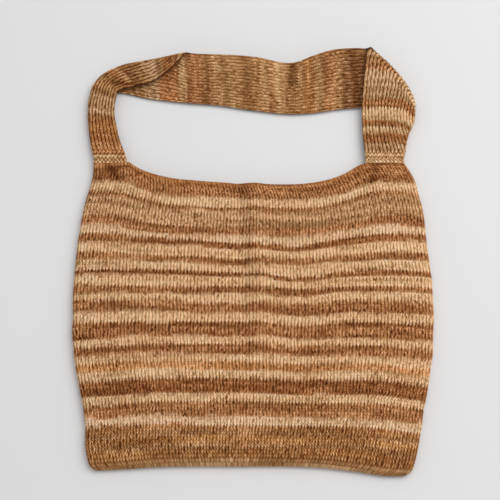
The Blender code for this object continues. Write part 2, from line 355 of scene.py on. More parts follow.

# ---------------------------------------------------------------------------------------------
# Colours of the yarn, with painted light and shade in them
# ---------------------------------------------------------------------------------------------

# Tones of the yarn, as sRGB from 0 to 255.
TONES = {
    "cream": (239, 198, 154),
    "pale": (239, 197, 150),
    "light": (244, 200, 152),
    "tan": (202, 154, 106),
    "golden": (190, 131, 75),
    "orange": (214, 151, 95),
    "brown": (186, 127, 77),
    "umber": (181, 130, 82),
    "straw": (206, 163, 117),
    "wheat": (207, 162, 109),
    "ash": (189, 146, 102),
    "sand": (191, 144, 92),
    "fawn": (178, 129, 77),
    "hazel": (171, 121, 71),
    "rust": (178, 118, 69),
    "dark": (168, 107, 58),
    "bark": (146, 97, 55),
    # deep is partly painted shade: dark yarn in the shade of the strap's diagonal fold.
    "deep": (98, 60, 36),
}

# How far a stripe starts before its first course, and how far two tones blend past each other, in
# courses.
BAND_SHIFT = 0.2
BAND_BLEND = 0.25

# Patches of the dye: how strong, how many wales and courses one is long, and where its noise starts.
# The first two move the stripes' edges by courses, and the last two lighten or darken the yarn.
EDGE_WANDER = {"strength": 0.7, "wales": 22.0, "courses": 1.0 / 0.23, "start": 7.0}
EDGE_RAGGEDNESS = {"strength": 0.25, "wales": 4.0, "courses": 1.0 / 0.61, "start": 0.0}
RUST_PATCHES = {"strength": 1.0, "wales": 10.0, "courses": 1.5, "start": 0.0}
LONG_PATCHES = {"strength": 0.36, "wales": 12.0, "courses": 1.3, "start": 0.0}
SHORT_PATCHES = {"strength": 0.07, "wales": 3.0, "courses": 1.1, "start": 0.0}

# Rust shows where its patches are stronger than this, and hides up to this share of the stripe.
RUST_START = 0.2
RUST_SHARE = 0.5

# How unevenly the yarn is dyed from course to course and from stitch to stitch; how much lighter one
# leg of a stitch is painted than the other, as painted light on a tilted stitch; and how unevenly it
# is dyed from leg to leg. The left legs are painted a little lighter on the whole, and single stitches
# and legs may be much darker than the rest but not much lighter.
COURSE_UNEVENNESS = 0.06
STITCH_UNEVENNESS = 0.06
TILT_PAINTED_LIGHT = 0.20
LEFT_LEG_PAINTED_LIGHT = 0.25
TILT_LIMIT = 1.5
LEG_UNEVENNESS = 0.08
DARKEST = -2.5
LIGHTEST = 1.0

# The pouch's stripes, from the bottom seam to the rim.
POUCH_STRIPES = (
    ("tan", 1), ("umber", 1), ("golden", 2), ("umber", 2), ("golden", 2), ("umber", 2),
    ("golden", 1), ("brown", 1), ("cream", 3), ("brown", 5), ("pale", 3), ("dark", 5),
    ("pale", 3), ("orange", 3), ("light", 3), ("rust", 4), ("light", 3), ("dark", 1),
    ("brown", 3), ("dark", 2), ("light", 4), ("brown", 4), ("light", 3), ("rust", 3),
    ("light", 4), ("dark", 2), ("pale", 4), ("brown", 3), ("light", 4), ("dark", 3),
    ("cream", 3), ("rust", 4), ("tan", 8), ("brown", 2), ("pale", 4), ("umber", 1), ("rust", 3),
    ("brown", 1), ("dark", 2), ("brown", 1), ("rust", 1),
)

# The strap's bands, from the left join to the right join.
STRAP_BANDS = (
    # Left leg, from its knobbly end up and round the bend.
    ("straw", 4), ("rust", 2), ("brown", 4), ("dark", 5), ("golden", 6), ("umber", 3), ("ash", 9),
    ("hazel", 6), ("fawn", 3), ("dark", 2), ("umber", 3), ("bark", 4), ("hazel", 3),
    # Middle, to the dark stretch that goes in under the right leg. Its last bands, bark and deep,
    # are partly painted shade: the diagonal fold beside the right leg shades them.
    ("ash", 8), ("dark", 9), ("wheat", 3), ("rust", 7), ("hazel", 5), ("sand", 10), ("hazel", 3),
    ("fawn", 7), ("sand", 3), ("rust", 2), ("wheat", 5), ("hazel", 7), ("golden", 5), ("sand", 4),
    ("brown", 4), ("hazel", 4), ("bark", 10), ("deep", 5),
    # Right leg, from the diagonal fold down to its knobbly end.
    ("ash", 3), ("umber", 3), ("rust", 2), ("ash", 3), ("straw", 7), ("ash", 2), ("rust", 4),
    ("pale", 4), ("straw", 2), ("dark", 2), ("umber", 1), ("straw", 3), ("dark", 2), ("rust", 2),
    ("ash", 4), ("straw", 6),
)

POUCH_COURSES = sum(courses for _, courses in POUCH_STRIPES)


def linear(color):
    """An sRGB colour of 0 to 255 as linear light."""
    share = np.asarray(color, float) / 255.0
    return np.where(share <= 0.04045, share / 12.92, ((share + 0.055) / 1.055) ** 2.4)


def tone_rows(bands):
    """The first course of each band, and the bands' colours."""
    starts = np.concatenate([[0], np.cumsum([courses for _, courses in bands])[:-1]])
    return starts, np.array([linear(TONES[tone]) for tone, _ in bands])


# ---------------------------------------------------------------------------------------------
# Curves and noise
# ---------------------------------------------------------------------------------------------

NOISE_CELLS = 512


def eased(part):
    """A part of 0 to 1 with a smooth start and end."""
    return part * part * (3.0 - 2.0 * part)


def step_up(value, low, high):
    """0 below low, 1 above high, and smooth between."""
    return eased(np.clip((value - low) / (high - low), 0.0, 1.0))


def value_noise(seed, x, y=0.0):
    """Smooth noise from -1 to 1 with one lattice cell for each unit of x and y."""
    lattice = np.random.default_rng(seed).uniform(-1.0, 1.0, (NOISE_CELLS, NOISE_CELLS))
    x, y = np.broadcast_arrays(np.asarray(x, float), np.asarray(y, float))
    column = np.floor(x).astype(int)
    row = np.floor(y).astype(int)
    part_x = eased(x - column)
    part_y = eased(y - row)
    left = column % NOISE_CELLS
    right = (column + 1) % NOISE_CELLS
    low = row % NOISE_CELLS
    high = (row + 1) % NOISE_CELLS
    below = lattice[low, left] * (1.0 - part_x) + lattice[low, right] * part_x
    above = lattice[high, left] * (1.0 - part_x) + lattice[high, right] * part_x
    return below * (1.0 - part_y) + above * part_y


def smoothly(places, values, wanted):
    """A smooth curve through rows of values, passing each at its own place."""
    places = np.asarray(places, float)
    values = np.asarray(values, float)
    steps = np.diff(places)
    slopes = np.diff(values, axis=0) / steps[:, None]
    tangents = np.empty_like(values)
    tangents[0] = slopes[0]
    tangents[-1] = slopes[-1]
    before = steps[:-1, None]
    after = steps[1:, None]
    tangents[1:-1] = (slopes[:-1] * after + slopes[1:] * before) / (before + after)
    wanted = np.clip(np.asarray(wanted, float), places[0], places[-1])
    row = np.clip(np.searchsorted(places, wanted, side="right") - 1, 0, len(steps) - 1)
    width = steps[row][:, None]
    part = (wanted - places[row])[:, None] / width
    start = (1 + 2 * part) * (1 - part) ** 2 * values[row]
    start_slope = part * (1 - part) ** 2 * width * tangents[row]
    end = part**2 * (3 - 2 * part) * values[row + 1]
    end_slope = part**2 * (part - 1) * width * tangents[row + 1]
    return start + start_slope + end + end_slope


def table_to_frame(points):
    """Millimetres in the tables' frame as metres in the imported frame."""
    return (np.asarray(points, float) - (ORIGIN_X, ORIGIN_Y, 0.0)) * MM


def unit(vectors):
    """The same directions with a length of 1."""
    return vectors / np.linalg.norm(vectors, axis=-1, keepdims=True)


# ---------------------------------------------------------------------------------------------
# Stitches and meshes, for the pouch and the strap
# ---------------------------------------------------------------------------------------------


def line_relief(folds, x, y):
    """What a list of soft ridges and troughs adds at a place, in the unit of their rise."""
    total = np.zeros_like(x)
    for fold in folds:
        start = np.array(fold["from"])
        run = np.array(fold["to"]) - start
        length = math.hypot(*run)
        along = ((x - start[0]) * run[0] + (y - start[1]) * run[1]) / length
        aside = ((x - start[0]) * run[1] - (y - start[1]) * run[0]) / length
        past = np.maximum(np.maximum(-along, along - length), 0.0)
        reach = (aside / fold["spread"]) ** 2 + (past / (2.0 * fold["spread"])) ** 2
        total += fold["rise"] * np.exp(-0.5 * reach)
    return total


def stitch_grid(wales, courses):
    """Columns and rows of the points of a piece of knitting, as indices of shape (rows, columns)."""
    return np.meshgrid(np.arange(wales * COLUMNS + 1), np.arange(courses * ROWS + 1))


def leaning_course(column, row, courses):
    """The course that each point stands at. The legs lean, so a row rises towards the grooves."""
    lean = LEG_LEAN * np.abs(2.0 * COLUMN_PLACE[column % COLUMNS] - 1.0)
    course = row / ROWS
    fade = step_up(course, 0.0, LEAN_FADE) * (1.0 - step_up(course, courses - LEAN_FADE, courses))
    return course + lean * fade


def stitch_noise(seed, column, row, size):
    """A random value up to this size for each point, and 0 in the grooves between wales."""
    table = np.random.default_rng(seed).uniform(-1.0, 1.0, (row.max() + 1, column.max() + 1))
    return size * table * (column % COLUMNS != 0)


def uneven_shade(seed, shade, depth):
    """The shade with a random share for every point: most are light, and some gape dark."""
    table = np.random.default_rng(seed).uniform(0.0, 1.0, shade.shape)
    # The cube of an even random share is 0.25 on average, so the mean shade stays as it was.
    return shade * (1.0 - depth * table**3) / (1.0 - 0.25 * depth)


class PolygonList:
    """Faces with a colour and a smooth flag each, gathered before the mesh is made."""

    def __init__(self):
        self.corners = []
        self.colors = []
        self.smooth = []

    def add(self, corners, color, smooth=False):
        self.corners.append([int(corner) for corner in corners])
        self.colors.append(color)
        self.smooth.append(smooth)

    def add_quads(self, corners, colors, smooth):
        self.corners.extend(corners.reshape(-1, 4).tolist())
        self.colors.extend(colors.reshape(-1, 3))
        self.smooth.extend([smooth] * (corners.size // 4))

    def mesh(self, name, points, shades, reverse):
        corners = [face[::-1] for face in self.corners] if reverse else self.corners
        mesh = bpy.data.meshes.new(name)
        mesh.from_pydata(table_to_frame(points).tolist(), [], corners)
        mesh.polygons.foreach_set("use_smooth", np.array(self.smooth, bool))
        sizes = np.array([len(face) for face in corners])
        rgba = np.ones((len(self.colors), 4), np.float32)
        rgba[:, :3] = np.array(self.colors)
        yarn = mesh.attributes.new("yarn", "FLOAT_COLOR", "CORNER")
        yarn.data.foreach_set("color", np.repeat(rgba, sizes, axis=0).ravel())
        shade = mesh.attributes.new("shade", "FLOAT", "POINT")
        shade.data.foreach_set("value", shades.astype(np.float32))
        return mesh


def placed_piece(name, mesh, material, collection):
    """A new object of this mesh and material, linked to the collection."""
    mesh.materials.append(material)
    piece = bpy.data.objects.new(name, mesh)
    collection.objects.link(piece)
    return piece


def face_colors(stitch_colors, rows, columns):
    """Colours of a grid's faces. A course reaches from the hollow under its legs to the next hollow."""
    face_row, face_column = np.mgrid[0 : rows - 1, 0 : columns - 1]
    course = np.minimum((face_row + 1) // ROWS, len(stitch_colors) - 1)
    return stitch_colors[course, face_column // COLUMNS, (face_column % COLUMNS) // 2]


def grid_corners(index):
    """Quads of a grid of point numbers, which face up where columns run to +X and rows to +Y."""
    return np.stack([index[:-1, :-1], index[:-1, 1:], index[1:, 1:], index[1:, :-1]], axis=-1)


# ---------------------------------------------------------------------------------------------
# The pouch's walls
# ---------------------------------------------------------------------------------------------


def row_drift(x, y):
    """How far the rows of stitches stand above or below their even places."""
    total = np.zeros_like(x)
    for drift in ROW_DRIFTS:
        aside = (x - drift["at"][0]) / drift["reach"][0]
        along = (y - drift["at"][1]) / drift["reach"][1]
        total += drift["rise"] * np.exp(-0.5 * (aside**2 + along**2))
    return total


def between_ends(up, margin):
    """1 along the pouch and 0 at its seam and rim, where unevenness fades out."""
    return step_up(up, 0.0, margin) * (1.0 - step_up(up, 1.0 - margin, 1.0))


def rounded_rise(distance, taper):
    """A quarter round from 0 at the seam to 1 where the taper ends."""
    return np.sqrt(1.0 - (1.0 - np.clip(distance / taper, 0.0, 1.0)) ** 2)


def wall_place(share, up, front):
    """Places on a wall's face: share runs from the middle of the left fold to the right fold's."""
    flat_up = np.clip(up, 0.0, 1.0)
    sides = smoothly(SIDE_TABLE[:, 0], SIDE_TABLE[:, 1:], flat_up.ravel()).reshape(*up.shape, 2)
    uneven = SIDE_UNEVENNESS * between_ends(up, SIDE_FADE)
    left = sides[..., 0] + uneven * value_noise(SIDE_SEEDS[0], up * SIDE_WAVES)
    right = sides[..., 1] + uneven * value_noise(SIDE_SEEDS[1], up * SIDE_WAVES)
    distance = (SHOULDER_Y - SEAM_Y) * up
    tip = rounded_rise(distance, FRONT_SEAM_TAPER)
    # The side folds are round, so their middle is as high as their radius.
    middle = SEAM_MIDDLE + (SIDE_HEIGHT / 2.0 - SEAM_MIDDLE) * tip
    radius = middle
    quarter = math.pi / 2.0 * radius
    width = right - left - 2.0 * radius
    place = share * (width + 2.0 * quarter)
    across = np.clip((place - quarter) / width, 0.0, 1.0)
    left_turn = np.maximum(quarter - place, 0.0) / radius
    right_turn = np.maximum(place - quarter - width, 0.0) / radius
    x = left + radius + width * across + radius * (np.sin(right_turn) - np.sin(left_turn))

    from_middle = np.abs(2.0 * across - 1.0)
    edges = smoothly(EDGE_TABLE[:, 0], EDGE_TABLE[:, 1:], across.ravel()).reshape(*up.shape, 2)
    y = SEAM_Y + distance + edges[..., 0] * (1.0 - up) ** 2
    y = y + np.minimum(edges[..., 1], 0.0) * flat_up**SAG_POWER
    y = y + LOWER_ARCH * (1.0 - from_middle**2) * np.sin(math.pi * np.sqrt(flat_up))
    uneven = ROW_UNEVENNESS * between_ends(up, ROW_FADE) * (1.0 - from_middle**ROW_POWER)
    row_seed = FRONT_ROW_SEED if front else BACK_ROW_SEED
    y = y + uneven * value_noise(row_seed, x / ROW_WAVE + NOISE_START, up * ROW_WAVES)
    y = y + row_drift(x, y) * between_ends(up, DRIFT_FADE)

    if front:
        crown = (CROWN_HEIGHT - SIDE_HEIGHT) * (1.0 - from_middle**CROWN_POWER)
        relief = line_relief(FRONT_FOLDS, left + (right - left) * across, y)
        wave_x = x / FRONT_WAVE[0] + NOISE_START
        wave_y = y / FRONT_WAVE[1] + NOISE_START
        relief = relief + FRONT_UNEVENNESS * value_noise(FRONT_UNEVENNESS_SEED, wave_x, wave_y)
        level = SIDE_HEIGHT + crown + relief * (1.0 - from_middle**RELIEF_POWER)
        face = SEAM_MIDDLE + (level - SEAM_MIDDLE) * tip
    else:
        face = SEAM_MIDDLE + (BACK_LEVEL - SEAM_MIDDLE) * rounded_rise(distance, BACK_SEAM_TAPER)
    turned = 2.0 - np.cos(left_turn) - np.cos(right_turn)
    return np.stack([x, y, face + (middle - face) * turned], axis=-1)


def wall_normal(share, up, front):
    """Directions out of a wall's face."""
    step = 0.002
    upright = (0.0, 0.0, 0.01)
    along = wall_place(share, up + step, front) - wall_place(share, up - step, front)
    across = wall_place(share + step, up, front) - wall_place(share - step, up, front)
    # The small upright part keeps a direction at the seam's corners, where a wall has no width.
    normal = np.cross(across, along) + upright
    return unit(normal if front else -normal)


def wall_shade(seed, column, row, up):
    """Shade of the points of a wall's outer face, before the front's puckers."""
    groove = value_noise(seed + 3, column / COLUMNS * GROOVE_CELLS_A_WALE, row / ROWS / GROOVE_LENGTH)
    shade = POUCH_SHADE[row % ROWS, column % COLUMNS]
    shade = shade * (1.0 + GROOVE_UNEVENNESS * groove * (column % COLUMNS == 0))
    shade = uneven_shade(seed + 4, shade, POINT_UNEVENNESS)
    inside = between_ends(up, EDGE_COURSES / POUCH_COURSES)
    contrast = EDGE_CONTRAST + (1.0 - EDGE_CONTRAST) * inside
    return EDGE_SHADE + (shade - EDGE_SHADE) * contrast


def inner_face(column, row, front):
    """Places of a wall's coarser inner face."""
    share = column / COLUMNS / POUCH_WALES
    up = row / ROWS / POUCH_COURSES
    growth = step_up(up, 0.0, SEAM_INSET_FADE)
    inset = WALL_INSET * (SEAM_INSET + (1.0 - SEAM_INSET) * growth)
    return wall_place(share, up, front) - wall_normal(share, up, front) * inset[..., None]


def make_pouch_wall(name, front, material, collection):
    """The front or the back wall of the pouch, with all its stitches."""
    column, row = stitch_grid(POUCH_WALES, POUCH_COURSES)
    seed = FRONT_SEED if front else BACK_SEED
    share = (column // COLUMNS + COLUMN_PLACE[column % COLUMNS]) / POUCH_WALES
    share = share + stitch_noise(seed, column, row, POINT_ASIDE) / POUCH_WALES
    up = leaning_course(column, row, POUCH_COURSES) / POUCH_COURSES
    drift = stitch_noise(seed + 1, column, row, POINT_ALONG) / POUCH_COURSES
    up_moved = up + drift * between_ends(up, POINT_ALONG_FADE)
    relief = POUCH_RELIEF[row % ROWS, column % COLUMNS]
    relief = relief + stitch_noise(seed + 2, column, row, POINT_OUT)
    relief = relief - RIM_DROP * step_up(up, 1.0 - RIM_COURSES / POUCH_COURSES, 1.0)
    outward = wall_normal(share, up, front)
    outer = wall_place(share, up_moved, front) + outward * relief[..., None]
    inner = inner_face(column[::INNER_ROW_STEP, ::COLUMNS], row[::INNER_ROW_STEP, ::COLUMNS], front)

    shade = wall_shade(seed, column, row, up)
    if front:
        # Painted shade along the middle fold and under the strap's joins.
        shade = shade * (1.0 - line_relief(PUCKER_SHADES, outer[..., 0], outer[..., 1]))
    stitch_colors = yarn_colors_and_painted_light(POUCH_STRIPES, POUCH_WALES, POUCH_COURSES, seed + 10)
    mesh = wall_mesh(name, outer, inner, shade, stitch_colors, front)
    return placed_piece(name, mesh, material, collection)


def wall_mesh(name, outer, inner, shade, stitch_colors, front):
    """A closed sheet: a fine outer grid, a coarse inner one, and strips of wide faces round the edge."""
    rows, columns = outer.shape[:2]
    inner_rows, inner_columns = inner.shape[:2]
    outer_index = np.arange(rows * columns).reshape(rows, columns)
    inner_index = np.arange(inner_rows * inner_columns).reshape(inner_rows, inner_columns)
    inner_index = inner_index + rows * columns
    faces = PolygonList()

    faces.add_quads(grid_corners(outer_index), face_colors(stitch_colors, rows, columns), smooth=True)

    plain = stitch_colors[:, :, 0]
    course = np.arange(inner_rows - 1) * INNER_ROW_STEP // ROWS
    faces.add_quads(grid_corners(inner_index)[..., ::-1], plain[course], smooth=True)

    for wale in range(inner_columns - 1):
        span = slice(wale * COLUMNS, (wale + 1) * COLUMNS + 1)
        low = list(outer_index[0, span])[::-1] + [inner_index[0, wale], inner_index[0, wale + 1]]
        high = list(outer_index[-1, span]) + [inner_index[-1, wale + 1], inner_index[-1, wale]]
        faces.add(low, plain[0, wale])
        faces.add(high, plain[-1, wale])
    for step in range(inner_rows - 1):
        span = slice(step * INNER_ROW_STEP, (step + 1) * INNER_ROW_STEP + 1)
        left = list(outer_index[span, 0]) + [inner_index[step + 1, 0], inner_index[step, 0]]
        right = list(outer_index[span, -1])[::-1] + [inner_index[step, -1], inner_index[step + 1, -1]]
        faces.add(left, plain[course[step], 0])
        faces.add(right, plain[course[step], -1])

    points = np.vstack([outer.reshape(-1, 3), inner.reshape(-1, 3)])
    shades = np.concatenate([shade.ravel(), np.full(inner_rows * inner_columns, INNER_SHADE)])
    return faces.mesh(name, points, shades, reverse=not front)


# ---------------------------------------------------------------------------------------------
# The strap
# ---------------------------------------------------------------------------------------------


def strap_places():
    """Distance along the strap of each row of its table, the mean of its two edges."""
    moves = np.diff(STRAP_TABLE, axis=0)
    edge_1 = np.linalg.norm(moves[:, 0:3], axis=1)
    edge_2 = np.linalg.norm(moves[:, 3:6], axis=1)
    return np.concatenate([[0.0], np.cumsum((edge_1 + edge_2) / 2.0)])


def strap_lattice(across):
    """The band's middle surface: close rows along it, and columns at these shares of its width.

    Past an edge, cloth turns round half a circle of CURL_RADIUS and runs back behind the band.
    """
    places = strap_places()
    steps = int(places[-1] / STRAP_LATTICE_STEP)
    wanted = np.linspace(0.0, places[-1], steps + 1)
    rows = smoothly(places, STRAP_TABLE, wanted)
    start, end = rows[:, 0:3], rows[:, 3:6]
    heading = np.gradient((start + end) / 2.0, axis=0)
    outward = unit(end - start)
    wrong_side = unit(np.cross(heading, outward))
    curl_1 = np.maximum(rows[:, 6:7], 0.0)
    curl_2 = np.maximum(rows[:, 7:8], 0.0)
    quarter = math.pi / 2.0
    inset_1 = CURL_RADIUS * np.sin(np.minimum(curl_1 / CURL_RADIUS, quarter))
    inset_2 = CURL_RADIUS * np.sin(np.minimum(curl_2 / CURL_RADIUS, quarter))
    base = np.linalg.norm(end - start, axis=1, keepdims=True) - inset_1 - inset_2
    distance = across[None, :] * (curl_1 + base + curl_2)
    past_1 = np.maximum(curl_1 - distance, 0.0)
    past_2 = np.maximum(distance - curl_1 - base, 0.0)
    flat = inset_1 + np.clip(distance - curl_1, 0.0, base)
    turn = np.minimum(past_1 + past_2, math.pi * CURL_RADIUS) / CURL_RADIUS
    back = np.maximum(past_1 + past_2 - math.pi * CURL_RADIUS, 0.0)
    shift = CURL_RADIUS * np.sin(turn) - back
    along = flat + np.where(past_2 > 0.0, shift, -shift)
    lift = CURL_RADIUS * (1.0 - np.cos(turn))
    points = start[:, None] + outward[:, None] * along[..., None] + wrong_side[:, None] * lift[..., None]
    near_fold = np.exp(-(((wanted - places[FOLD_ROW]) / FOLD_BOW_REACH) ** 2))
    bow = FOLD_BOW * near_fold[:, None] * np.sin(math.pi * across[None, :] ** FOLD_BOW_SKEW)
    points = points + bow[..., None] * FOLD_BOW_SIDE
    anchors = [int(round(places[anchor] / places[-1] * steps)) for anchor in STRAP_ANCHORS]
    return points, anchors


def lattice_courses(points, anchors):
    """The course at each lattice point: even along every wale between two anchors."""
    lengths = np.linalg.norm(np.diff(points, axis=0), axis=2)
    mean = lengths.mean(axis=1)
    total = mean.sum()
    course = np.zeros(points.shape[:2])
    for first, last in zip(anchors[:-1], anchors[1:]):
        run = np.cumsum(lengths[first:last], axis=0) / lengths[first:last].sum(axis=0)
        courses = mean[first:last].sum() / total * STRAP_COURSES
        course[first + 1 : last + 1] = course[first, 0] + run * courses
    return course


def at_courses(lattice, lattice_course, wanted):
    """Values of the lattice's columns at the wanted courses."""
    result = np.empty((*wanted.shape, 3))
    for column in range(wanted.shape[1]):
        for axis in range(3):
            result[:, column, axis] = np.interp(
                wanted[:, column], lattice_course[:, column], lattice[:, column, axis]
            )
    return result


def moss_share(course):
    """1 in the moss-stitch ends of the strap and 0 between them."""
    last_course = STRAP_COURSES - MOSS_COURSES
    return np.maximum(
        1.0 - step_up(course, MOSS_COURSES - MOSS_BLEND, MOSS_COURSES + MOSS_BLEND),
        step_up(course, last_course - MOSS_BLEND, last_course + MOSS_BLEND),
    )


def strap_face(seed, column, row, relief, shade):
    """Height over the middle surface and shade of the points of one face of the strap."""
    course = row / ROWS
    moss = moss_share(course)
    knob = np.where((column // 2 + row // ROWS) % 2 == 0, 0.5, -0.5)
    fine = relief[row % ROWS, column % COLUMNS] + stitch_noise(seed, column, row, STRAP_POINT_OUT)
    height = fine * (1.0 - moss) + (MOSS_RELIEF * knob - MOSS_SINK) * moss
    groove = value_noise(seed + 1, column * RIB_GROOVE_CELLS_A_COLUMN, course / RIB_GROOVE_LENGTH)
    rib_shade = shade[row % ROWS, column % COLUMNS]
    rib_shade = rib_shade * (1.0 + RIB_GROOVE_UNEVENNESS * groove * (rib_shade < RIB_HOLLOW))
    face_shade = rib_shade * (1.0 - moss) + (MOSS_SHADE + MOSS_CONTRAST * knob) * moss
    return STRAP_HALF_THICKNESS + height, uneven_shade(seed + 2, face_shade, STRAP_POINT_UNEVENNESS)


def make_strap(name, material, collection):
    """The strap as one closed sheet: its right side, its wrong side, two edges and two ends."""
    column, row = stitch_grid(STRAP_RIBS, STRAP_COURSES)
    across = (column[0] // COLUMNS + RIB_COLUMN_PLACE[column[0] % COLUMNS]) / STRAP_RIBS
    lattice, anchors = strap_lattice(across)
    courses = lattice_courses(lattice, anchors)
    normals = unit(np.cross(np.gradient(lattice, axis=0), np.gradient(lattice, axis=1)))
    right_course = leaning_course(column, row, STRAP_COURSES)
    wrong_course = leaning_course(column + COLUMNS // 2, row, STRAP_COURSES)
    height, right_shade = strap_face(STRAP_SEED, column, row, RIB_RELIEF, RIB_SHADE)
    depth, wrong_shade = strap_face(STRAP_BACK_SEED, column, row, RIB_BACK_RELIEF, RIB_BACK_SHADE)
    right = at_courses(lattice, courses, right_course)
    tuck = line_relief(STRAP_TUCKS, right[..., 0], right[..., 1])
    # Painted shade darkens the pleat's trough.
    right_shade = right_shade * (1.0 - TUCK_SHADE * tuck)
    height = height - TUCK_DEPTH * tuck
    right -= unit(at_courses(normals, courses, right_course)) * height[..., None]
    wrong = at_courses(lattice, courses, wrong_course)
    wrong += unit(at_courses(normals, courses, wrong_course)) * depth[..., None]
    # Painted shade in the dip, and painted light on the rise beside it.
    wrong_shade = wrong_shade * (1.0 - line_relief(DIP_SHADES, wrong[..., 0], wrong[..., 1]))

    rows, columns = row.shape
    right_index = np.arange(rows * columns).reshape(rows, columns)
    wrong_index = right_index + rows * columns
    stitch_colors = yarn_colors_and_painted_light(STRAP_BANDS, STRAP_RIBS, STRAP_COURSES, STRAP_COLOR_SEED)
    colors = face_colors(stitch_colors, rows, columns)
    faces = PolygonList()
    faces.add_quads(grid_corners(right_index)[..., ::-1], colors, smooth=True)
    faces.add_quads(grid_corners(wrong_index), colors, smooth=True)
    for edge in (0, columns - 1):
        pair = np.stack([right_index[:, edge], wrong_index[:, edge]], axis=1)
        corners = grid_corners(pair if edge == 0 else pair[:, ::-1])
        faces.add_quads(corners, colors[:, [min(edge, columns - 2)]], smooth=True)
    for end in (0, rows - 1):
        pair = np.stack([right_index[end], wrong_index[end]])
        corners = grid_corners(pair[::-1] if end == 0 else pair)
        faces.add_quads(corners, colors[[min(end, rows - 2)]], smooth=False)
    points = np.vstack([right.reshape(-1, 3), wrong.reshape(-1, 3)])
    shades = np.concatenate([right_shade.ravel(), wrong_shade.ravel()])
    mesh = faces.mesh(name, points, shades, reverse=False)
    return placed_piece(name, mesh, material, collection)


# ---------------------------------------------------------------------------------------------
# Yarn colours, with the painted light of the stitches' legs
# ---------------------------------------------------------------------------------------------


def dye_patches(seed, patch, wale, course):
    """Noise over a piece of knitting, of one kind of patch."""
    noise = value_noise(seed, wale / patch["wales"] + patch["start"], course / patch["courses"])
    return patch["strength"] * noise


def yarn_colors_and_painted_light(bands, wales, courses, seed):
    """Colour of each leg of each stitch, with painted light between its two legs, of shape (courses,
    wales, 2, 3).
    """
    starts, tones = tone_rows(bands)
    course, wale = np.mgrid[0:courses, 0:wales]
    drift = dye_patches(seed, EDGE_WANDER, wale, course)
    drift = drift + dye_patches(seed + 5, EDGE_RAGGEDNESS, wale, course)
    color = np.zeros((courses, wales, 3))
    for blend in (-BAND_BLEND, BAND_BLEND):
        band = np.searchsorted(starts, course + BAND_SHIFT + drift + blend, side="right") - 1
        color += tones[np.clip(band, 0, len(tones) - 1)] / 2.0
    rust = np.clip(dye_patches(seed + 3, RUST_PATCHES, wale, course) - RUST_START, 0.0, 1.0)
    rust = RUST_SHARE * rust[..., None]
    color = color * (1.0 - rust) + linear(TONES["rust"]) * rust

    chance = np.random.default_rng(seed + 4)
    light = dye_patches(seed + 1, LONG_PATCHES, wale, course)
    light = light + dye_patches(seed + 2, SHORT_PATCHES, wale, course)
    light = light + COURSE_UNEVENNESS * chance.uniform(-1.0, 1.0, (courses, 1))
    stitches = chance.normal(0.0, 1.0, (courses, wales)).clip(DARKEST, LIGHTEST)
    light = light + STITCH_UNEVENNESS * stitches
    # Painted light: one leg of each stitch is lighter and the other darker, the left legs on the whole,
    # as if each stitch tilted one leg towards the light.
    painted_leg_light = chance.normal(LEFT_LEG_PAINTED_LIGHT, 1.0, (courses, wales, 1)).clip(-TILT_LIMIT, TILT_LIMIT)
    legs = chance.normal(0.0, 1.0, (courses, wales, 2)).clip(DARKEST, LIGHTEST)
    light = light[:, :, None] + LEG_UNEVENNESS * legs + TILT_PAINTED_LIGHT * painted_leg_light * (1.0, -1.0)
    light = light * (DARK_CONTRAST - CONTRAST_LOSS * color[:, :, 1])[:, :, None]
    yarn = color[:, :, None, :] * np.exp(light[..., None] * np.array(SHADE_POWERS))
    return yarn * np.minimum(PALEST_YARN / yarn[..., :1], 1.0)


# ---------------------------------------------------------------------------------------------
# Materials, floor, light and camera
# ---------------------------------------------------------------------------------------------


